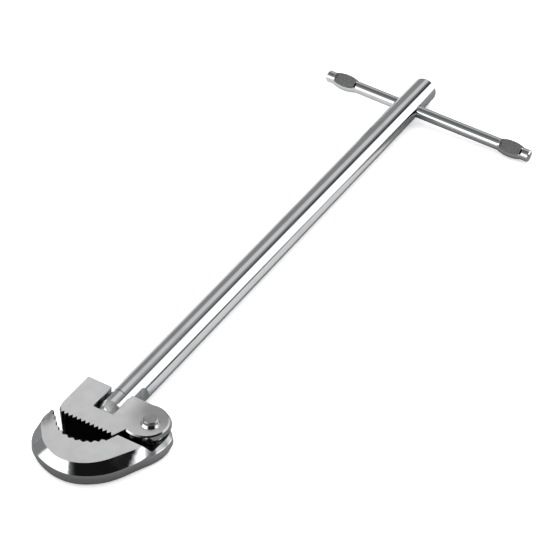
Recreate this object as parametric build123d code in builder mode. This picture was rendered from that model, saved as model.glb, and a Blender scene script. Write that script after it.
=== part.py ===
"""Basin wrench: a round shaft with a sliding T-bar at one end and a swivelling head at the other.

The head is a toothed heel jaw, forked over the flattened end of the shaft, and a sprung hook jaw
that turns on a rivet. Sizes are in millimetres. The origin lies on the flat underside of the heel
jaw, on the shaft's centre line, midway between the jaw's teeth and the floor of its fork. +X runs
along the shaft to the T-bar, +Y points to the tip of the hook, and +Z is normal to the head.
"""
import os
from math import atan2, cos, degrees, radians, sin, sqrt, tan

from build123d import *

os.makedirs("parts", exist_ok=True)

# ---------------------------------------------------------------------------------------------
# Driving dimensions
# ---------------------------------------------------------------------------------------------
# Shaft
shaft_d = 11.0            # round bar
shaft_length = 245.6      # from the swivel pin's axis to the far end
shaft_end_r = 0.9         # rounded edge at the far end
tongue_t = 7.7            # across the two flats that enter the head's fork
tongue_length = 14.8      # from the swivel pin's axis to the shoulders of the flats
shoulder_r = 2.6          # corner left by the cutter at each shoulder

# T-bar
bar_d = 5.2
bar_length = 96.2
bar_inset = 17.0          # from the bar's axis to the shaft's far end
bar_twist = 2.1           # degrees between the cross hole and the swivel pin
bar_roll = 30.0           # degrees that the bar is spun in its hole at rest
bar_slide_rest = -9.5     # where the middle of the bar lies across the shaft at rest
bar_tip_length = 3.4      # plain round tip outside each stop
bar_tip_chamfer = 0.5
stop_length = 10.8        # swaged stop near each end of the bar
stop_w = 7.1              # across the stop's bulged sides
stop_t = 3.8              # across the stop's pressed flats
stop_ramp = 0.9           # slope at each end of a pressed flat
bar_hole_clear = 0.08     # radial, in the shaft's cross hole
bar_mouth_t = 0.9         # depth to which the mouths of the cross hole are eased

# Head
head_t = 11.2             # thickness of both jaws
land_length = 3.8         # from the origin to the floor of the fork
tooth_land = 4.9          # from the origin to the tips of the heel jaw's teeth
fork_depth = 11.9         # from the floor of the fork to the back of the block
cheek_t = 9.75            # block on the left of the fork
arm_t = 5.2               # block on the right of the fork
tongue_side_clear = 0.1
tongue_end_clear = 0.5
cheek_draft = 8.0         # degrees, forging draft on the left cheek
corner_r = 3.6            # rounded front corner of the left cheek
corner_top_r = 5.2        # the same corner at the very top, where its edge is broken
corner_break = 0.8        # height of that broken edge

# Lap joint between the two jaws
lobe_r = 8.4              # round end of the heel jaw that covers the hook's ear
lobe_t = 2.2
lobe_dx, lobe_dy = 0.35, 2.2   # from the rivet to the middle of the lobe
lobe_chamfer = 0.5
lobe_foot_r = 8.9         # the lobe's lower edge, spread by forging draft
lobe_foot_dx = 0.7        # and moved back
ear_r = 7.2               # round end of the hook, on the side towards the block
ear_sweep_r = 8.4         # furthest point of that end, on its outer side
lap_gap = 1.7             # between the lobe and the ear's rim, for the spring
lap_clear = 0.35          # between the ear and the block around it
rivet_dx = 2.35           # how far the rivet lies ahead of the swivel pin

# Teeth
heel_teeth = 12
heel_tooth_pitch = 1.74
heel_tooth_depth = 1.4
hook_tooth_pitch = 2.45
hook_tooth_depth = 0.9

# Hook
hook_top_step = 0.2       # how far the hook's top lies below the heel jaw's
hook_base = 0.8           # how far its underside lies above the heel jaw's
hook_knee_z = 3.2         # where its lower side begins to turn under
hook_crease_z = 7.2       # sharp line round the crescent, its widest outline
step_run = 2.6            # sloping step from the hook's top down to its ear
step_from_rivet = 10.95   # top of that step, ahead of the rivet
diagonal_gap = 0.8        # between the hook and the slanted end of the heel's teeth

# Rivet, its washer and the swivel pin
rivet_d = 4.2
rivet_sink_d = 7.4
rivet_sink_t = 1.6
rivet_button_d = 5.2
rivet_button_t = 1.1
rivet_washer_d = 6.8
rivet_washer_t = 0.9
rivet_clear = 0.05
pin_d = 4.0
pin_clear = 0.05
pin_inset = 0.3           # how far each end of the swivel pin lies under its surface

# Friction washer beside the tongue
friction_washer_t = 0.5
friction_washer_d = 8.6
friction_washer_clear = 0.06

# Torsion spring around the rivet
spring_wire_d = 1.0
spring_coil_d = 10.0      # mean diameter
spring_turns = 1.75
spring_pitch = 1.08
spring_leg = 1.2          # length of each turned end, in its hole
spring_leg_d = 0.98       # turned ends, drawn a little thinner by the bend
spring_pocket_t = 1.3     # depth of the annular pocket in the ear
spring_pocket_r = 6.2
hub_r = 3.6               # boss in the middle of that pocket
hub_clear = 0.1
spring_clear = 0.06

# ---------------------------------------------------------------------------------------------
# Places worked out from them
# ---------------------------------------------------------------------------------------------
axis_z = head_t / 2
pin_x = land_length + tongue_end_clear + shaft_d / 2
shaft_end_x = pin_x + shaft_length
bar_x = shaft_end_x - bar_inset

fork_right = -(tongue_t / 2 + tongue_side_clear)
fork_left = tongue_t / 2 + tongue_side_clear + friction_washer_t
cheek_y = fork_left + cheek_t
block_back = land_length + fork_depth

relief_r = ear_r + lap_clear
sweep_relief_r = ear_sweep_r + lap_clear
rivet_x = pin_x - rivet_dx
rivet_y = fork_right - arm_t - relief_r
lobe_x = rivet_x + lobe_dx
lobe_y = rivet_y + lobe_dy
lobe_z = head_t - lobe_t
ear_z = lobe_z - lap_gap
hook_z = head_t - hook_top_step
block_right = rivet_y + relief_r

cheek_lean = tan(radians(cheek_draft))


def turned(angle, x, y):
    """A direction in the XY plane, turned by an angle in degrees."""
    c, s = cos(radians(angle)), sin(radians(angle))
    return Vector(c * x - s * y, s * x + c * y)


# ---------------------------------------------------------------------------------------------
# Shaft: round bar, flattened and domed where it enters the fork, drilled across for the T-bar
# ---------------------------------------------------------------------------------------------
with BuildPart() as shaft:
    with BuildSketch(Plane.XY.offset(axis_z)):
        with BuildLine():
            Line((pin_x, 0), (shaft_end_x, 0))
            Line((shaft_end_x, 0), (shaft_end_x, shaft_d / 2 - shaft_end_r))
            RadiusArc(
                (shaft_end_x, shaft_d / 2 - shaft_end_r),
                (shaft_end_x - shaft_end_r, shaft_d / 2),
                -shaft_end_r,
            )
            Line((shaft_end_x - shaft_end_r, shaft_d / 2), (pin_x, shaft_d / 2))
            RadiusArc((pin_x, shaft_d / 2), (pin_x - shaft_d / 2, 0), -shaft_d / 2)
            Line((pin_x - shaft_d / 2, 0), (pin_x, 0))
        make_face()
    revolve(axis=Axis((pin_x, 0, axis_z), (1, 0, 0)))
    # the two flats, each ending in the round corner left by the cutter
    with BuildSketch(Plane.XY):
        for side in (1, -1):
            with BuildLine():
                Polyline(
                    (pin_x - shaft_d, side * tongue_t / 2),
                    (pin_x + tongue_length, side * tongue_t / 2),
                    (pin_x + tongue_length, side * shaft_d),
                    (pin_x - shaft_d, side * shaft_d),
                    close=True,
                )
            make_face()
        corners = vertices().filter_by_position(Axis.X, pin_x + tongue_length - 1, pin_x + tongue_length + 1)
        fillet(corners.filter_by_position(Axis.Y, -tongue_t, tongue_t), radius=shoulder_r)
    extrude(amount=2 * head_t, mode=Mode.SUBTRACT)
    # swivel pin's hole, and the cross hole for the bar with its eased mouths
    with Locations((pin_x, 0, axis_z)):
        Cylinder(pin_d / 2 + pin_clear, 2 * shaft_d, rotation=(90, 0, 0), mode=Mode.SUBTRACT)
    bar_hole_r = bar_d / 2 + bar_hole_clear
    with Locations((bar_x, 0, axis_z)):
        Cylinder(bar_hole_r, 2 * shaft_d, rotation=(90 + bar_twist, 0, 0), mode=Mode.SUBTRACT)
    # the cutter runs in from each side to ease the mouths
    for way in (1, -1):
        turn = Location((bar_x, 0, axis_z)) * Location((0, 0, 0), (bar_twist - 90 * way, 0, 0))
        with Locations(turn * Location((0, 0, shaft_d / 2 - bar_mouth_t))):
            Cone(
                bar_hole_r,
                bar_hole_r + bar_mouth_t / 2,
                bar_mouth_t,
                align=(Align.CENTER, Align.CENTER, Align.MIN),
                mode=Mode.SUBTRACT,
            )
shaft.part.label = "shaft"
export_step(shaft.part, "parts/shaft.step")

# ---------------------------------------------------------------------------------------------
# T-bar: one rod, swaged into a flat-sided stop near each end so that it can't leave the shaft
# ---------------------------------------------------------------------------------------------
bar_low = bar_slide_rest - bar_length / 2
bar_high = bar_slide_rest + bar_length / 2
with BuildPart() as t_bar:
    with BuildSketch(Plane.XY):
        with BuildLine():
            Line((0, bar_low), (0, bar_high))
            for end, way in ((bar_high, -1), (bar_low, 1)):
                r, outer = bar_d / 2, end + way * bar_tip_length
                inner = outer + way * stop_length
                Line((0, end), (r - bar_tip_chamfer, end))
                Line((r - bar_tip_chamfer, end), (r, end + way * bar_tip_chamfer))
                Line((r, end + way * bar_tip_chamfer), (r, outer))
                ThreePointArc((r, outer), (stop_w / 2, (outer + inner) / 2), (r, inner))
            stop_run = bar_tip_length + stop_length
            Line((bar_d / 2, bar_high - stop_run), (bar_d / 2, bar_low + stop_run))
        make_face()
    revolve(axis=Axis.Y)
    # pressed flats on the top and bottom of each stop
    for end, way in ((bar_high, -1), (bar_low, 1)):
        near, far = end + way * bar_tip_length, end + way * (bar_tip_length + stop_length)
        for up in (1, -1):
            with BuildSketch(Plane.YZ):
                with BuildLine():
                    Polyline(
                        (near, up * bar_d),
                        (near + way * stop_ramp, up * stop_t / 2),
                        (far - way * stop_ramp, up * stop_t / 2),
                        (far, up * bar_d),
                        close=True,
                    )
                make_face()
            extrude(amount=stop_w, both=True, mode=Mode.SUBTRACT)
in_hole = Location((bar_x, 0, axis_z)) * Location((0, 0, 0), (bar_twist, 0, 0))
t_bar_placed = in_hole * Location((0, 0, 0), (0, -bar_roll, 0)) * t_bar.part
t_bar_placed.label = "t_bar"
export_step(t_bar_placed, "parts/t_bar.step")

# ---------------------------------------------------------------------------------------------
# Heel jaw: toothed block with a fork for the shaft, and a thin round lobe over the hook's ear
# ---------------------------------------------------------------------------------------------
lobe_reach = sqrt(lobe_r**2 - (block_right - 2 - lobe_y) ** 2)
neck = (lobe_x - lobe_reach, block_right - 2)
coil_end_angle = 360 * (spring_turns % 1)
coil_r = spring_coil_d / 2
leg_r = spring_wire_d / 2 + spring_clear

def heel_outline(cheek, corner):
    """The heel jaw's block at one level, with its front left corner rounded."""
    with BuildLine() as outline:
        Polyline((-tooth_land, cheek - corner), (-tooth_land, block_right), neck, (lobe_x, lobe_y))
        Polyline((lobe_x, lobe_y), (block_back, lobe_y), (block_back, cheek), (corner - tooth_land, cheek))
        RadiusArc((corner - tooth_land, cheek), (-tooth_land, cheek - corner), -corner)
    return outline.wires()[0]


with BuildPart() as heel_jaw:
    # the lobe, at the top only
    for level, r, back in (
        (lobe_z, lobe_foot_r, lobe_foot_dx),
        (head_t - lobe_chamfer, lobe_r + 0.1, 0.1),
        (head_t, lobe_r - lobe_chamfer, 0),
    ):
        with BuildSketch(Plane((lobe_x + back, lobe_y, level))):
            Circle(r)
    loft(ruled=True)
    # the block, narrowed downwards by the forging draft on its left cheek
    for level, corner in (
        (0, corner_r),
        (head_t - corner_break, corner_r),
        (head_t, corner_top_r),
    ):
        with BuildSketch(Plane.XY.offset(level)):
            add(heel_outline(cheek_y - (head_t - level) * cheek_lean, corner))
            make_face()
    loft(ruled=True)
    # room under the lobe for the hook's ear and strap
    with BuildSketch(Plane.XY):
        with Locations((rivet_x, rivet_y)):
            Circle(sweep_relief_r)
            Rectangle(4 * head_t, 2 * relief_r, align=(Align.MAX, Align.CENTER))
        with Locations((rivet_x, rivet_y + relief_r - 3.2)):
            Rectangle(4 * head_t, 4 * head_t, align=(Align.MIN, Align.MAX))
    extrude(amount=lobe_z, mode=Mode.SUBTRACT)
    # fork
    with BuildSketch(Plane.XY):
        with Locations((land_length, fork_right)):
            Rectangle(2 * fork_depth, fork_left - fork_right, align=(Align.MIN, Align.MIN))
    extrude(amount=head_t, mode=Mode.SUBTRACT)
    # teeth
    with BuildSketch(Plane.XY):
        for i in range(heel_teeth):
            with Locations((-tooth_land, block_right + (i + 0.7) * heel_tooth_pitch)):
                Polygon(
                    (0, -heel_tooth_pitch / 2),
                    (heel_tooth_depth, 0),
                    (0, heel_tooth_pitch / 2),
                    align=None,
                )
    extrude(amount=head_t, mode=Mode.SUBTRACT)
    # holes for the swivel pin, the rivet and the spring's upper leg
    with Locations((pin_x, 0, axis_z)):
        Cylinder(pin_d / 2, 4 * cheek_y, rotation=(90, 0, 0), mode=Mode.SUBTRACT)
    with Locations((rivet_x, rivet_y, lobe_z)):
        Cylinder(rivet_d / 2, lobe_t, align=(Align.CENTER, Align.CENTER, Align.MIN), mode=Mode.SUBTRACT)
    upper_leg = turned(coil_end_angle, coil_r, 0)
    with Locations((rivet_x + upper_leg.X, rivet_y + upper_leg.Y, lobe_z)):
        Cylinder(leg_r, spring_leg + spring_clear, align=(Align.CENTER, Align.CENTER, Align.MIN), mode=Mode.SUBTRACT)
heel_jaw.part.label = "heel_jaw"
export_step(heel_jaw.part, "parts/heel_jaw.step")

# ---------------------------------------------------------------------------------------------
# Hook jaw: a forged crescent, creased round its outer side, with a toothed inner side
# ---------------------------------------------------------------------------------------------
# Outer side, from the tip round to the ear, measured from the rivet's axis: each point's place, then
# how far the outline lies inside it at the top, the crease, half height, the knee and the underside.
# The crease runs high round the crescent and drops to half height along the ear.
hook_outer = [
    ((-14.4, 33.9), 1.9, 0.5, 0.0, 0.0, 0.9),
    ((-20.2, 33.9), 2.4, 0.5, 0.0, 0.0, 0.9),
    ((-25.4, 31.7), 3.4, 0.2, 0.0, 0.0, 0.9),
    ((-28.9, 27.3), 2.5, -0.6, -0.3, 0.0, 0.9),
    ((-30.9, 22.3), 1.5, -1.1, -0.7, 0.0, 0.9),
    ((-31.7, 17.0), 0.8, -1.4, -0.9, 0.0, 0.9),
    ((-30.9, 11.3), 0.8, -1.6, -1.0, 0.0, 0.9),
    ((-28.2, 6.3), 0.9, -1.7, -1.1, -0.1, 0.8),
    ((-24.0, 1.9), 1.3, -1.7, -1.1, -0.2, 0.7),
    ((-18.4, -1.6), 1.5, -1.5, -1.1, -0.3, 0.7),
    ((-12.2, -4.3), 1.0, -1.3, -1.0, -0.3, 0.6),
    ((-7.6, -6.3), 1.6, 0.2, -0.4, -0.2, 0.4),
    ((-4.2, -7.4), 2.4, 1.0, -0.2, -0.3, 0.4),
    ((-0.9, -7.7), 2.6, 1.1, -0.2, -0.5, 0.3),
    ((2.6, -7.2), 2.6, 1.0, -0.2, -0.6, 0.3),
    ((5.7, -5.0), 2.0, 0.6, 0.0, -0.5, 0.3),
]
# Inner side, from the tip to the strap that joins the ear, measured the same way
mouth_tip = (-12.75, 30.9)
mouth_bend = (-18.5, 25.2)
mouth_deep = (-20.4, 18.4)
mouth_end = (-13.55, 8.3)


def hook_outline(column):
    """Outer side of the hook at one level, closed by a line through the end of its ear."""
    points = [Vector(*row[0]) for row in hook_outer] + [Vector(ear_r, 0)]
    moved = []
    reach = [0]
    for i, point in enumerate(points[:-1]):
        along = points[i + 1] - points[max(i - 1, 0)]
        inward = Vector(-along.Y, along.X).normalized()
        moved.append(point + inward * hook_outer[i][column])
        reach.append(reach[-1] + (points[i + 1] - point).length)
    moved.append(points[-1])
    shares = [r / reach[-1] for r in reach]
    add(Edge.make_spline(moved, parameters=shares))
    ThreePointArc((ear_r, 0), (ear_r * cos(radians(45)), ear_r * sin(radians(45))), (0, ear_r))
    Polyline((0, ear_r), (0, moved[0].Y + 1), moved[0])


with BuildPart() as hook_jaw:
    levels = (hook_base, hook_knee_z, axis_z, hook_crease_z, hook_z)
    for level, column in zip(levels, (5, 4, 3, 2, 1)):
        with BuildSketch(Plane((rivet_x, rivet_y, level))):
            with BuildLine():
                hook_outline(column)
            make_face()
    loft(ruled=True)
    # mouth with its teeth
    with BuildSketch(Plane((rivet_x, rivet_y, 0))):
        with BuildLine() as inner_side:
            straight = Line(mouth_tip, mouth_bend)
            curved = ThreePointArc(mouth_bend, mouth_deep, mouth_end)
            Polyline(
                mouth_end,
                (mouth_end[0], ear_r),
                (ear_r, ear_r),
                (ear_r, 2 * mouth_tip[1]),
                (mouth_tip[0], 2 * mouth_tip[1]),
                mouth_tip,
            )
        make_face()
        for side in (straight, curved):
            count = int(side.length / hook_tooth_pitch)
            for i in range(count):
                place = side.position_at((i + 0.5) / count)
                heading = side.tangent_at((i + 0.5) / count)
                turn = degrees(atan2(heading.Y, heading.X))
                with Locations(Location((place.X, place.Y, 0), (0, 0, turn))):
                    Polygon(
                        (-side.length / count / 2, 0.01),
                        (0, -hook_tooth_depth),
                        (side.length / count / 2, 0.01),
                        align=None,
                    )
    extrude(amount=head_t, mode=Mode.SUBTRACT)
    # sloping step down to the ear
    with BuildSketch(Plane.XZ.shift_origin((rivet_x, 0, 0)).offset(-rivet_y)):
        with BuildLine():
            Polyline(
                (-step_from_rivet + step_run, ear_z),
                (-step_from_rivet - step_run, 2 * hook_z - ear_z),
                (2 * ear_r, 2 * hook_z - ear_z),
                (2 * ear_r, ear_z),
                close=True,
            )
        make_face()
    extrude(amount=3 * ear_r, both=True, mode=Mode.SUBTRACT)
    # slanted side beside the end of the heel's teeth
    slant = (Vector(*neck) - Vector(-tooth_land, block_right)).normalized()
    shift = Vector(slant.Y, -slant.X) * diagonal_gap
    near = Vector(-tooth_land, block_right) + shift - slant * 3
    far = Vector(*neck) + shift + slant * 3
    with BuildSketch(Plane.XY.offset(ear_z)):
        with BuildLine():
            Polyline((near.X, near.Y), (far.X, far.Y), (far.X, 0), (near.X, 0), close=True)
        make_face()
    extrude(amount=head_t, mode=Mode.SUBTRACT)
    # boss, spring pocket, rivet hole with its countersink, and a hole for the spring's lower leg
    with Locations((rivet_x, rivet_y, ear_z)):
        Cylinder(hub_r, lobe_z - hub_clear - ear_z, align=(Align.CENTER, Align.CENTER, Align.MIN))
    with BuildSketch(Plane((rivet_x, rivet_y, ear_z))):
        Circle(spring_pocket_r)
        Circle(hub_r, mode=Mode.SUBTRACT)
    extrude(amount=-spring_pocket_t, mode=Mode.SUBTRACT)
    with Locations((rivet_x, rivet_y, hook_base)):
        Cylinder(rivet_d / 2 + rivet_clear, 4 * head_t, mode=Mode.SUBTRACT)
        Cone(
            rivet_sink_d / 2 + rivet_clear,
            rivet_d / 2 + rivet_clear,
            rivet_sink_t,
            align=(Align.CENTER, Align.CENTER, Align.MIN),
            mode=Mode.SUBTRACT,
        )
    with Locations((rivet_x + coil_r, rivet_y, ear_z - spring_pocket_t)):
        Cylinder(
            leg_r,
            spring_leg + spring_clear,
            align=(Align.CENTER, Align.CENTER, Align.MAX),
            mode=Mode.SUBTRACT,
        )
hook_jaw.part.label = "hook_jaw"
export_step(hook_jaw.part, "parts/hook_jaw.step")

# ---------------------------------------------------------------------------------------------
# Rivet that the hook turns on: countersunk below, peened over a washer above
# ---------------------------------------------------------------------------------------------
with BuildPart() as jaw_rivet:
    with BuildSketch(Plane.XZ):
        with BuildLine():
            top = head_t + rivet_washer_t
            Polyline(
                (0, hook_base),
                (rivet_sink_d / 2, hook_base),
                (rivet_d / 2, hook_base + rivet_sink_t),
                (rivet_d / 2, top),
                (rivet_button_d / 2, top),
                (rivet_button_d / 2, top + rivet_button_t),
                (0, top + rivet_button_t),
                close=True,
            )
        make_face()
    revolve(axis=Axis.Z)
    chamfer(edges().sort_by(Axis.Z)[-1], length=rivet_button_t / 3)
jaw_rivet.part.label = "jaw_rivet"
jaw_rivet_placed = Location((rivet_x, rivet_y, 0)) * jaw_rivet.part
jaw_rivet_placed.label = "jaw_rivet"
export_step(jaw_rivet_placed, "parts/jaw_rivet.step")

with BuildPart() as rivet_washer:
    with Locations((rivet_x, rivet_y, head_t)):
        Cone(
            rivet_washer_d / 2,
            rivet_button_d / 2 + 0.2,
            rivet_washer_t,
            align=(Align.CENTER, Align.CENTER, Align.MIN),
        )
        Cylinder(rivet_d / 2, 4 * rivet_washer_t, mode=Mode.SUBTRACT)
rivet_washer.part.label = "rivet_washer"
export_step(rivet_washer.part, "parts/rivet_washer.step")

# ---------------------------------------------------------------------------------------------
# Torsion spring in the lap joint, with one end turned down into the hook and one up into the lobe
# ---------------------------------------------------------------------------------------------
coil_z = ear_z - spring_pocket_t + spring_clear + spring_wire_d / 2
coil_rise = spring_turns * spring_pitch
with BuildPart() as jaw_spring:
    coil = Edge.make_helix(spring_pitch, coil_rise, coil_r, center=(rivet_x, rivet_y, coil_z))
    with BuildSketch(Plane(origin=coil @ 0, z_dir=coil % 0)):
        Circle(spring_wire_d / 2)
    sweep(path=coil, is_frenet=True)
    for end, way in ((coil @ 0, -1), (coil @ 1, 1)):
        reach = spring_leg + spring_wire_d / 2 - spring_clear
        with Locations((end.X, end.Y, end.Z + way * reach / 2)):
            Cylinder(spring_leg_d / 2, reach)
        with Locations((end.X, end.Y, end.Z)):
            Sphere(spring_wire_d / 2)
jaw_spring.part.label = "jaw_spring"
export_step(jaw_spring.part, "parts/jaw_spring.step")

# ---------------------------------------------------------------------------------------------
# Swivel pin across the fork, and the washer that makes the swivel stiff enough to stay put
# ---------------------------------------------------------------------------------------------
pin_left = cheek_y - axis_z * cheek_lean - pin_inset
pin_right = rivet_y + sweep_relief_r + pin_inset
with BuildPart() as swivel_pin:
    with Locations((pin_x, (pin_left + pin_right) / 2, axis_z)):
        Cylinder(pin_d / 2, pin_left - pin_right, rotation=(90, 0, 0))
    chamfer(edges().filter_by(GeomType.CIRCLE), length=0.3)
swivel_pin.part.label = "swivel_pin"
export_step(swivel_pin.part, "parts/swivel_pin.step")

with BuildPart() as friction_washer:
    washer_t = friction_washer_t - friction_washer_clear
    with Locations((pin_x, fork_left - washer_t / 2, axis_z)):
        Cylinder(friction_washer_d / 2, washer_t, rotation=(90, 0, 0))
        Cylinder(pin_d / 2, 4 * washer_t, rotation=(90, 0, 0), mode=Mode.SUBTRACT)
friction_washer.part.label = "friction_washer"
export_step(friction_washer.part, "parts/friction_washer.step")

print(f"pin x {pin_x:.2f}, rivet ({rivet_x:.2f}, {rivet_y:.2f}), bar x {bar_x:.2f}, end {shaft_end_x:.2f}")
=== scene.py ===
# %% [markdown]
# # A basin wrench in chrome and ground steel
#
# A basin wrench reaches the nuts behind a sink. A round shaft carries a sliding bar at one end and
# a swivelling head at the other, where a sprung hook closes on a toothed heel. Every piece here is
# already exact in the imported CAD model, so this lesson gives each one its finish: polished chrome
# plate, satin ground flats, broached teeth painted nearly black (partly their own dark, partly
# painted shade) and a peened rivet. Some shade and one highlight are painted into colours too. It
# starts by loading the model.

# %% Load the imported model
import math

import bpy
from mathutils import Matrix, Vector


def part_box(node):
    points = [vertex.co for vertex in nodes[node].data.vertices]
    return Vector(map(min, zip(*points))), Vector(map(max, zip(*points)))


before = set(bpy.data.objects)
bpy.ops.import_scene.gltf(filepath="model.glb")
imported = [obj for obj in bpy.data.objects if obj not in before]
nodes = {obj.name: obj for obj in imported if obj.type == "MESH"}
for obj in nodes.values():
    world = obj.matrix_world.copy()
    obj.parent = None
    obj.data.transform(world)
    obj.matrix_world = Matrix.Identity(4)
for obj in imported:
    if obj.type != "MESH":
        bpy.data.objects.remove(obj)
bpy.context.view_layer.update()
print("pieces:", ", ".join(sorted(nodes)))

# %% [markdown]
# ## Writing shaders as sums
#
# A finish is a calculation on the place of each point of the surface. Wiring that by hand hides the
# idea, so a small class wraps a socket and turns Python's operators into Math nodes. Every other
# node comes from one method, which takes its type, its settings and the values of its sockets.

# %% One class for shader maths
class Value:
    """A socket in a node tree that can be added, subtracted and scaled like a number."""

    def __init__(self, graph, socket):
        self.graph = graph
        self.socket = socket

    def __add__(self, other):
        return self.graph.math("ADD", self, other)

    def __sub__(self, other):
        return self.graph.math("SUBTRACT", self, other)

    def __rsub__(self, other):
        return self.graph.math("SUBTRACT", other, self)

    def __mul__(self, other):
        return self.graph.math("MULTIPLY", self, other)

    def __neg__(self):
        return self.graph.math("MULTIPLY", self, -1)

    __radd__ = __add__
    __rmul__ = __mul__


# %% [markdown]
# Masks do most of the work here: numbers between 0 and 1 that say where a finish applies. A step is
# a soft edge, and a band is the room between two of them.

# %% One method for every node
class Graph:
    """The node tree of a material or of the world."""

    def __init__(self, tree):
        self.tree = tree
        tree.nodes.clear()

    def node(self, kind, settings=None, sockets=None, output=0):
        made = self.tree.nodes.new("ShaderNode" + kind)
        for name, value in (settings or {}).items():
            setattr(made, name, value)
        for name, value in (sockets or {}).items():
            if isinstance(value, Value):
                self.tree.links.new(value.socket, made.inputs[name])
            else:
                made.inputs[name].default_value = value
        return Value(self, made.outputs[output]) if made.outputs else made

    def math(self, operation, a, b=0.0):
        return self.node("Math", {"operation": operation}, {0: a, 1: b})

    def size_of(self, value):
        """The value without its sign."""
        return self.math("ABSOLUTE", value)

    def larger(self, a, b):
        return self.math("MAXIMUM", a, b)

    def smaller(self, a, b):
        return self.math("MINIMUM", a, b)

    def step(self, value, low, high):
        """0 below low, 1 above high, and smooth between."""
        places = {"From Min": low, "From Max": high, "Value": value}
        return self.node("MapRange", {"interpolation_type": "SMOOTHSTEP"}, places)

    def band(self, value, low, high, soft):
        """1 between low and high, fading over soft on each side."""
        past_high = self.step(value, high - soft, high + soft)
        return self.step(value, low - soft, low + soft) * (1 - past_high)

    def split(self, vector):
        """The three numbers of a vector."""
        return [self.node("SeparateXYZ", None, {0: vector}, i) for i in range(3)]

    def mix(self, mask, under, over):
        """The colour under where the mask is 0, and the colour over where it is 1."""
        return self.node("Mix", {"data_type": "RGBA"}, {0: mask, 6: under, 7: over}, 2)


def grey(level, warm=0.0):
    """A colour near grey, warmer above 0 and cooler below."""
    return (level * (1 + warm), level, level * (1 - warm), 1)


# %% [markdown]
# ## Where a point is, in millimetres
#
# Object coordinates stay with a piece when it moves, so a scratch stays where it was made. They are
# in metres here, and a maker thinks of this tool in millimetres, so they are scaled by a thousand.

# %% A material with its place, noise and grain
MILLIMETRE = 0.001


class Finish(Graph):
    """A material's graph, with the places and patterns that all the metal here shares."""

    def __init__(self, name):
        self.material = bpy.data.materials.new(name)
        self.material.use_nodes = True
        super().__init__(self.material.node_tree)
        place = self.node("TexCoord", output=3)
        in_millimetres = {0: place, "Scale": 1 / MILLIMETRE}
        self.mm = self.node("VectorMath", {"operation": "SCALE"}, in_millimetres)
        self.x, self.y, self.z = self.split(self.mm)

    def noise(self, size, detail=2.0, stretch=(1, 1, 1)):
        """Soft noise about 0, whose lumps are size millimetres across, drawn out along an axis."""
        scale = tuple(1 / (size * s) for s in stretch)
        place = self.node("Mapping", None, {0: self.mm, "Scale": scale})
        return self.node("TexNoise", None, {0: place, "Scale": 1, "Detail": detail}) - 0.5

    def surface(self, colour, metallic, roughness, height, more=None):
        """Closes the graph with a shader. Height is in millimetres."""
        bump = self.node("Bump", None, {"Height": height, "Distance": MILLIMETRE, "Strength": 1})
        sockets = {"Base Color": colour, "Metallic": metallic, "Roughness": roughness}
        sockets["Normal"] = bump
        sockets.update(more or {})
        shader = self.node("BsdfPrincipled", None, sockets)
        self.node("OutputMaterial", None, {0: shader})
        return self.material


def dress(finish, *names):
    """Gives every slot of these pieces the finish."""
    for name in names:
        for slot in nodes[name].material_slots:
            slot.material = finish
    print(finish.name, "on", ", ".join(names))


# %% [markdown]
# ## Polished chrome on the drawn shaft and its bar
#
# The shaft and the bar are drawn steel, polished along their length and chrome plated. Plate is a
# clear mirror of the room, so its look comes from the lights. What makes it metal and not glass is
# faint: lines left by the polishing wheel, a slight waviness under the plate, and dull patches
# where hands have held it.

# %% Polished chrome
def polished(name, along):
    """Chrome over a drawn bar. Along is the stretch of the polishing lines on X, Y and Z."""
    chrome = Finish(name)
    lines = chrome.noise(0.5, 3, along)
    waves = chrome.noise(7.0, 1, tuple(1 + a / 12 for a in along))
    hands = chrome.step(chrome.noise(16.0, 3), -0.05, 0.25)
    chrome.roughness = lines * 0.05 + hands * 0.05 + 0.075
    chrome.colour = chrome.mix(hands, grey(0.63, -0.02), grey(0.57, -0.01))
    chrome.height = waves * 0.012 + lines * 0.0006
    return chrome


# %% [markdown]
# The shaft's tongue is cut flat on two sides to fit between the head's cheeks. The cutter leaves
# dull flats. The tongue is painted paler than the shaft and made less of a mirror, a painted
# highlight on its end, and its sides are painted dark as the shade of the slot round it. A fine
# line crosses the top of the shaft behind it. Each is a band or a step on one of the three axes.

# %% The shaft, with its flats and tongue
DRAWN_OUT = 60
HALF_TONGUE = 3.85
FLATS_END = 24.4
TONGUE_FADES = 5.0, 12.0
LINE_PLACE, LINE_SLANT, HALF_LINE = 15.6, 0.25, 0.15
SHAFT_END = 255.2

tube = polished("shaft_chrome", (DRAWN_OUT, 1, 1))
off_middle = tube.size_of(tube.y)
flat = tube.step(off_middle, HALF_TONGUE - 0.05, HALF_TONGUE - 0.01)
flat = flat * (1 - tube.step(off_middle, HALF_TONGUE + 0.01, HALF_TONGUE + 0.07))
flat = flat * (1 - tube.step(tube.x, FLATS_END, FLATS_END + 0.6))
end_face = tube.step(tube.x, SHAFT_END, SHAFT_END + 0.15)
tongue = 1 - tube.step(tube.x, *TONGUE_FADES)
tongue_side_shade = tongue * tube.step(off_middle, 2.9, 3.6)
on_top = tube.step(tube.z, 9.6, 10.2) * tube.step(tube.y, -1.6, -1.0)
along_line = tube.x - tube.y * LINE_SLANT
line = tube.band(along_line, LINE_PLACE - HALF_LINE, LINE_PLACE + HALF_LINE, 0.05) * on_top
# The tongue's pale colour and lower metallic make a painted highlight.
tube.colour = tube.mix(tongue, tube.colour, grey(0.80))
# The tongue's sides are painted dark: painted shade of the slot.
tube.colour = tube.mix(tongue_side_shade, tube.colour, grey(0.12))
tube.colour = tube.mix(line, tube.colour, grey(0.08))
tube.roughness = tube.roughness + flat * 0.12 + end_face * 0.1 + tongue * 0.08
dress(tube.surface(tube.colour, 1 - tongue * 0.4, tube.roughness, tube.height), "shaft")

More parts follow.
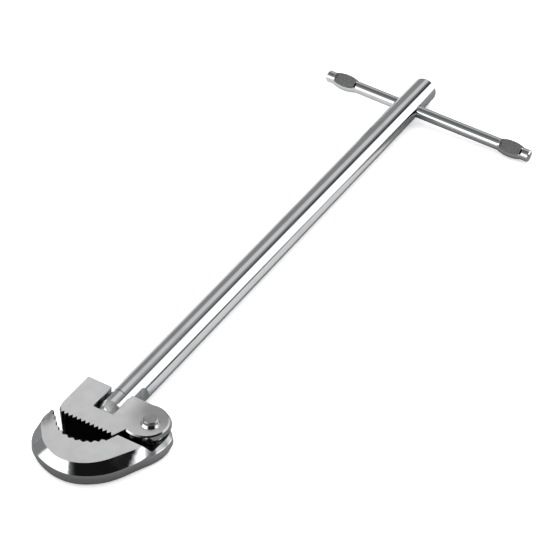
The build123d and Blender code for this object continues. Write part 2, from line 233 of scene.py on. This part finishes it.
# %% [markdown]
# ## The bar's pressed stops
#
# A press squeezes each end of the bar flat, so that it can't slide out of the shaft. The press
# faces leave a matte grey oval, while the sides that bulge out keep their shine. A mask finds the
# ovals by their distance from the bar's middle plane, which is tipped as the bar is spun.

# %% The bar, with its matte ovals
AXIS_HEIGHT = 5.6
BAR_CLIMB = math.radians(2.1)
BAR_SPIN = math.radians(30.0)
STOP_FROM, STOP_TO = 34.6, 43.8
HALF_STOP_THICKNESS = 1.9

bar_low, bar_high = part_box("t_bar")
bar_middle = (bar_low + bar_high) / 2 / MILLIMETRE
print("middle of the bar", [round(v, 2) for v in bar_middle])
bar = polished("bar_chrome", (1, DRAWN_OUT, 1))
rise = bar.z - AXIS_HEIGHT - bar.y * math.tan(BAR_CLIMB)
aside = bar.x - bar_middle.x
off_flat = bar.size_of(rise * math.cos(BAR_SPIN) - aside * math.sin(BAR_SPIN))
on_stop = bar.band(bar.size_of(bar.y - bar_middle.y), STOP_FROM, STOP_TO, 0.3)
pressed = bar.band(off_flat, HALF_STOP_THICKNESS - 0.06, HALF_STOP_THICKNESS + 0.06, 0.02)
oval = pressed * on_stop
peening = bar.noise(0.35, 2)
dented = bar.mix(bar.step(peening, -0.12, 0.15), grey(0.34), grey(0.58))
bar.colour = bar.mix(oval, bar.colour, dented)
bar.roughness = bar.roughness + oval * (peening * 0.2 + 0.40)
bar.height = bar.height + oval * peening * 0.03
dress(bar.surface(bar.colour, 1.0, bar.roughness, bar.height), "t_bar")

# %% [markdown]
# ## Ground flats on forged jaws
#
# Both jaws are forged, then ground flat on top and polished and plated round the sides. The ground
# tops are satin: fine scratches in one direction, a little cloudy, and pale. The teeth are cut
# last, and their faces are painted nearly black, partly their own dark and partly painted shade of
# the closed mouth. Each of these is a mask on height or on place.

# %% A jaw's finish, for both jaws
# The teeth's colour: partly the cut faces' own dark, partly painted shade of the closed mouth.
TEETH_DARK_AND_SHADE = (0.012, 0.009, 0.011, 1)


def jaw(name, top, teeth_mask, dark_and_shade_mask, side_roughness):
    """A plated forging with a satin top above the height top, cut teeth painted nearly black (partly
    painted shade) and darkened places, some of them painted shade.
    """
    metal = Finish(name)
    dark_and_shade = dark_and_shade_mask(metal)
    teeth = teeth_mask(metal)
    satin = metal.step(metal.z, top - 0.04, top - 0.01)
    teeth = teeth * (1 - satin)
    scratches = metal.noise(0.16, 3, (1, 14, 1))
    clouds = metal.noise(5.0, 3)
    forging = metal.noise(3.2, 2)
    shine = metal.noise(9.0, 2)
    base = metal.mix(satin, grey(0.56, -0.015), grey(0.63, -0.005))
    cloudy = metal.mix(metal.step(clouds, -0.3, 0.3) * satin, base, grey(0.56, -0.005))
    # Darkened places: the hook's tip is darker and mottled; the heel's lobe and the hook's ear are
    # painted shade.
    cloudy = metal.mix(dark_and_shade, cloudy, grey(0.22))
    colour = metal.mix(teeth, cloudy, TEETH_DARK_AND_SHADE)
    rough = metal.step(shine, 0.0, 0.3) * 0.07 + side_roughness
    satin_rough = clouds * 0.12 + scratches * 0.10 + 0.40
    roughness = rough * (1 - satin) + satin_rough * satin
    roughness = roughness * (1 - teeth) + teeth * 0.45 + dark_and_shade * 0.1
    metallic = 1 - satin * 0.45 - teeth * 0.5
    height = forging * (1 - satin) * 0.03 + scratches * satin * 0.004
    return metal.surface(colour, metallic, roughness, height)


# %% [markdown]
# The heel's teeth are broached across one flat face, so two limits on place are enough to find it.

# %% Heel jaw
def heel_teeth(metal):
    """The broached face, ahead of the tooth roots and right of the rounded corner."""
    ahead = 1 - metal.step(metal.x, -3.44, -3.38)
    return ahead * (1 - metal.step(metal.y, 10.9, 11.3)) * metal.step(metal.y, -9.3, -9.0)


def heel_lobe_painted_shade(metal):
    """The lobe, painted darker towards the shaft's side as a painted darker reflection."""
    on_lobe = 1 - metal.step(metal.y, -13.0, -5.0)
    return on_lobe * (metal.step(metal.x, 2.0, 13.0) * 0.6 + 0.18)


heel_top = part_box("heel_jaw")[1].z / MILLIMETRE
dress(jaw("heel_steel", heel_top, heel_teeth, heel_lobe_painted_shade, 0.12), "heel_jaw")

# %% [markdown]
# The hook's teeth follow the mouth: an arc, then a straight run out to the tip. The circle through
# three points of the arc gives the mask's centre and radius.

# %% Hook jaw
rivet = Vector((7.45, -16.70))
tip = rivet + Vector((-12.75, 30.9))
bend = rivet + Vector((-18.5, 25.2))
deep = rivet + Vector((-20.4, 18.4))
end = rivet + Vector((-13.55, 8.3))


def circle_through(a, b, c):
    """Centre and radius of the circle through three points."""
    ring = ((a, b, c), (b, c, a), (c, a, b))
    d = 2 * sum(p.x * (q.y - r.y) for p, q, r in ring)
    x = sum(p.length_squared * (q.y - r.y) for p, q, r in ring) / d
    y = sum(p.length_squared * (r.x - q.x) for p, q, r in ring) / d
    return Vector((x, y)), (a - Vector((x, y))).length


mouth, mouth_r = circle_through(bend, deep, end)
print("mouth centre", mouth, "radius", mouth_r)


def hook_teeth(metal):
    """Faces within a tooth's depth of the mouth's arc and of its straight run."""
    out_x, out_y = metal.x - mouth.x, metal.y - mouth.y
    reach = metal.math("SQRT", out_x * out_x + out_y * out_y)
    arc = 1 - metal.step(reach, mouth_r + 0.95, mouth_r + 1.05)
    run = (tip - bend).normalized()
    beyond = (metal.x - bend.x) * run.y - (metal.y - bend.y) * run.x
    straight = metal.step(beyond, -1.1, -1.0) * metal.step(metal.y, bend.y - 0.6, bend.y)
    return metal.larger(arc, straight) * metal.step(metal.y, end.y - 1.8, end.y - 1.5)


def hook_dark_tip_and_ear_shade(metal):
    """The tip, which is darker and mottled, and the ear's face under the lobe, painted dark as
    shade.
    """
    blotch = metal.step(metal.noise(1.6, 3), -0.25, 0.1)
    at_tip = metal.step(metal.y, 10.5, 14.0) * metal.step(metal.x, -15.5, -11.0)
    mottled = at_tip * (blotch * 0.4 + 0.55)
    # The ear's dark is painted shade under the lobe.
    ear = metal.band(metal.z, 5.9, 7.5, 0.05) * metal.step(metal.x, -3.0, -1.0)
    return metal.larger(mottled, ear * 0.6)


hook_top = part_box("hook_jaw")[1].z / MILLIMETRE
dress(jaw("hook_steel", hook_top, hook_teeth, hook_dark_tip_and_ear_shade, 0.07), "hook_jaw")

# %% [markdown]
# ## Rivet, washers, pin and spring
#
# The rivet's head is peened over a small washer, so it is satin with dents. The swivel pin, the
# washer beside the tongue and the spring's wire hardly show, but each still gets its own steel.

# %% Small steel parts
def plain_steel(name, level, rough, grain_size, grain_depth, stretch=(1, 1, 1)):
    """Bare or thinly plated steel, with a grain of one size."""
    steel = Finish(name)
    grain = steel.noise(grain_size, 3, stretch)
    patches = steel.step(steel.noise(grain_size * 6, 2), -0.2, 0.3)
    colour = steel.mix(patches, grey(level), grey(level * 0.82, 0.01))
    return steel.surface(colour, 1.0, grain * 0.15 + patches * 0.05 + rough, grain * grain_depth)


dress(plain_steel("peened_steel", 0.40, 0.30, 0.7, 0.05), "jaw_rivet")
dress(plain_steel("washer_chrome", 0.66, 0.16, 0.5, 0.01), "rivet_washer")
dress(plain_steel("pin_steel", 0.5, 0.28, 0.4, 0.01), "swivel_pin")
dress(plain_steel("washer_spring_steel", 0.05, 0.35, 0.3, 0.008), "friction_washer")
dress(plain_steel("drawn_wire", 0.6, 0.14, 0.3, 0.006, (4, 4, 1)), "jaw_spring")

# %% [markdown]
# ## A white table
#
# Chrome shows the room, so the room is designed like one. The table is pure white to look at. In
# reflections it is painted greyer round the head, along the foot of the shaft and beside the bar: a
# painted shadow of the tool on the table, which gives the chrome its dark edges. A Light Path node
# tells the two apart.

# %% Table
floor_mesh = bpy.data.meshes.new("table")
corners = [(-3, -3, 0), (3, -3, 0), (3, 3, 0), (-3, 3, 0)]
floor_mesh.from_pydata(corners, [], [(0, 1, 2, 3)])
table = bpy.data.objects.new("table", floor_mesh)
bpy.context.scene.collection.objects.link(table)
paper = Finish("white_table")
fibres = paper.noise(2.0, 3)
seen = paper.node("LightPath", output=0)
white = paper.mix(paper.step(paper.noise(90.0, 2), -0.3, 0.3), grey(0.90), grey(0.92))
beside_bar = paper.step(paper.x, 212, 226) * (1 - paper.step(paper.y, -5, 5))
beside_shaft = paper.band(paper.y, -8, 0, 1.5)
pale = paper.step(paper.x, 20, 45) * (1 - beside_bar) * (1 - beside_shaft)
# Seen in reflections, the table is painted grey near the tool: painted shadow.
reflected_with_painted_shade = paper.mix(pale, grey(0.30), grey(0.80))
white = paper.mix(seen, reflected_with_painted_shade, white)
lift = {"Emission Color": paper.mix(seen, grey(0), grey(1)), "Emission Strength": 0.5}
floor_mesh.materials.append(paper.surface(white, 0.0, 0.85, fibres * 0.01, lift))
print("table", floor_mesh.polygons[0].area, "square metres")

# %% [markdown]
# ## A light tent
#
# Round the table stand a tall soft light on each side and a low one, a narrow strip above, and dark
# gaps between them. The tent is drawn in the world by direction. Lean is the angle of a direction
# from upright, seen along the shaft, so an edge at one lean draws a line along the shaft.

# %% Light tent
SKEW = 128
LIGHT_GLOW, STRIP_GLOW, FLOOR_GLOW = 1.8, 0.5, 0.95
WALL_GLOW, DARKEST_WALL = 0.33, 0.012

world = bpy.data.worlds.new("light_tent")
bpy.context.scene.world = world
world.use_nodes = True
tent = Graph(world.node_tree)
way = tent.node("TexCoord", output=0)
east, north, up = tent.split(way)
lean = tent.math("ARCTAN2", north, up) * math.degrees(1)
# the lights stand askew to the shaft, so their edges lean further towards its far end
lean = lean + (tent.smaller(tent.larger(east, 0.6), 0.8) - 0.7) * SKEW
right_light = tent.band(lean, -84, -24, 4) * tent.step(east, 0.30, 0.45)
low_light = tent.step(-north, 0.75, 0.85) * tent.step(east, -0.05, 0.05)
low_light = low_light * tent.band(up, -0.1, 0.42, 0.04)
left_light = tent.step(-east, 0.35, 0.45) * tent.step(north, -0.02, 0.08)
left_light = left_light * tent.band(up, -0.1, 0.62, 0.04)
strip = tent.band(lean, 6, 40, 5) * tent.band(east, 0.5, 0.85, 0.05)
dark_line = tent.band(lean, -12, 2, 5) * tent.step(east, 0.4, 0.5)
zenith = tent.step(up, 0.86, 0.94)
walls = tent.step(north, -0.25, 0.1) * WALL_GLOW + DARKEST_WALL
glow = walls * (1 - zenith * 0.45) + dark_line * 0.1
lights = tent.larger(tent.larger(right_light, low_light), left_light)
below = 1 - tent.step(up, -0.03, 0.0)
strength = glow + lights * LIGHT_GLOW + strip * STRIP_GLOW
strength = strength * (1 - below) + below * FLOOR_GLOW
glow_node = tent.node("Background", None, {"Color": (1, 1, 1, 1), "Strength": strength})
tent.node("OutputWorld", None, {0: glow_node})
print("tent of", len(world.node_tree.nodes), "nodes")

# %% [markdown]
# One broad lamp overhead lights the table evenly. It is left out of the reflections, where it would
# blot out the gaps.

# %% Broad lamp overhead
lamp = bpy.data.lights.new("overhead", "AREA")
lamp.shape, lamp.size, lamp.size_y = "RECTANGLE", 2.6, 2.6
lamp.energy = 34
overhead = bpy.data.objects.new("overhead", lamp)
overhead.location = (0.1, 0.1, 1.6)
overhead.visible_glossy = False
bpy.context.scene.collection.objects.link(overhead)
print("lamp", lamp.energy, "W,", round(overhead.location.z, 2), "m over the table")

# %% [markdown]
# ## Camera
#
# A long lens from above the jaws' side, 39 degrees over the table, shows the whole tool from jaw to
# bar without much perspective. The frame is tipped by a few degrees, as a hand-held view is.

# %% Camera
target = Vector((0.106379, -0.012301, 0.0056))
eye = Vector((-0.433881, -0.281432, 0.494472))
tipped = math.radians(-4.8336)
view = (target - eye).normalized()
level = view.cross(Vector((0, 0, 1))).normalized()
upright = level.cross(view)
right = level * math.cos(tipped) - upright * math.sin(tipped)
top = level * math.sin(tipped) + upright * math.cos(tipped)
lens = bpy.data.cameras.new("camera")
lens.sensor_width = 36
lens.lens = 131.794
lens.clip_start = 0.05
camera = bpy.data.objects.new("camera", lens)
turn = Matrix((right, top, -view)).transposed().to_4x4()
camera.matrix_world = Matrix.Translation(eye) @ turn
bpy.context.scene.collection.objects.link(camera)
bpy.context.scene.camera = camera
bpy.context.scene.view_settings.view_transform = "Standard"
print("camera", round((target - eye).length, 3), "m from its target")
